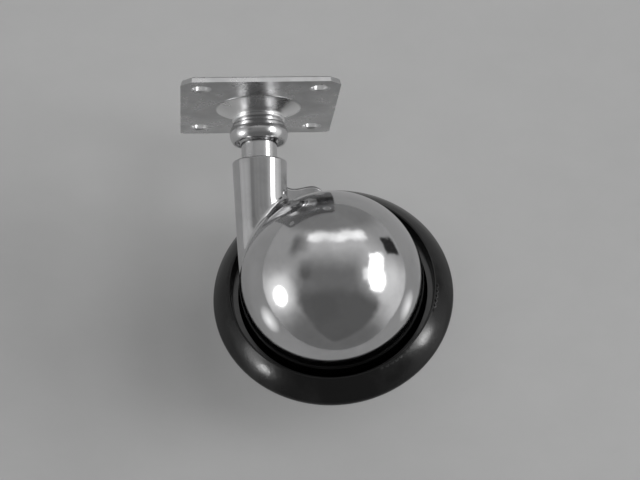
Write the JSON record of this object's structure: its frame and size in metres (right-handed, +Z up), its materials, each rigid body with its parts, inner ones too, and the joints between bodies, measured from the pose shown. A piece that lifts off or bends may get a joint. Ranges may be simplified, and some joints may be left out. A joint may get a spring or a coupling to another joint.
{
  "type": "furniture castor",
  "caption": "Plate-fixed furniture castor with a polished ball-shaped hood on a swivelling leg and a rubber-tyred wheel on a sloping axle.",
  "frame": {"origin": "centre of the four screw holes on the plate's upper face, on the swivel axis", "axes": "+Z up along the swivel axis out of the plate's mounting face, +X along the plate's width, +Y along its depth"},
  "size_m": [0.0653, 0.0441, 0.0754],
  "materials": {
    "plated_plate": "bright plating, slightly satin",
    "plated_turning": "polished plating",
    "plated_casting": "mirror polished plating",
    "plated_dish": "bright plating",
    "spring_steel": "dark tempered",
    "bearing_steel": "ground",
    "bronze": "sintered, oiled",
    "tyre": "moulded black rubber, soft sheen"
  },
  "bodies": {
    "plate": {"top_plate": "plated_plate", "dust_collar": "plated_turning", "stem": "plated_turning"},
    "hood": {"hood_casting": "plated_casting", "retaining_ring": "spring_steel", "thrust_ball": "bearing_steel", "axle_pin": "bearing_steel", "inner_washer": "bearing_steel", "outer_washer": "bearing_steel", "axle_clip": "spring_steel"},
    "wheel": {"wheel_dish": "plated_dish", "hub": "plated_turning", "wheel_bush": "bronze", "tyre": "tyre", "hub_cap": "plated_dish"}
  },
  "joints": [
    {"name": "swivel", "type": "hinge", "parent": "plate", "child": "hood", "pos_m": [0, 0, 0], "axis": [0, 0, 1], "continuous": true},
    {"name": "wheel_spin", "type": "hinge", "parent": "hood", "child": "wheel", "pos_m": [0.01726, 0.00601, -0.04721], "axis": [-0.1171, -0.9541, 0.2756], "continuous": true}
  ]
}
